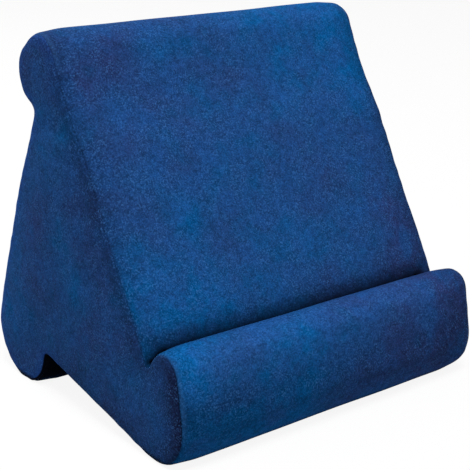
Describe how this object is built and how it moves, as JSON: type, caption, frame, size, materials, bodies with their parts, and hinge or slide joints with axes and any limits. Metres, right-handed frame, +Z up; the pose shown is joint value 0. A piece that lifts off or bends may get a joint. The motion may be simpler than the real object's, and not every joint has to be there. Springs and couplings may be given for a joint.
{
  "type": "tablet cushion stand",
  "caption": "Soft foam wedge stand in a sewn velvet cover, with a front lip and slot that hold a tablet on a slanted face, and a groove beside each long lobe.",
  "frame": {"origin": "middle of the footprint, on the surface that the stand rests on", "axes": "+Z up, the slanted face and the lip face -Y, the width runs along X"},
  "size_m": [0.3, 0.258, 0.29],
  "materials": {
    "velvet": "short royal blue pile, mottled nap, soft sheen",
    "foam": "cream open-cell polyurethane foam"
  },
  "bodies": {
    "root": {"foam_core": "foam", "front_panel": "velvet", "rear_panel": "velvet", "base_panel": "velvet", "end_panel_left": "velvet", "end_panel_right": "velvet"}
  },
  "joints": []
}
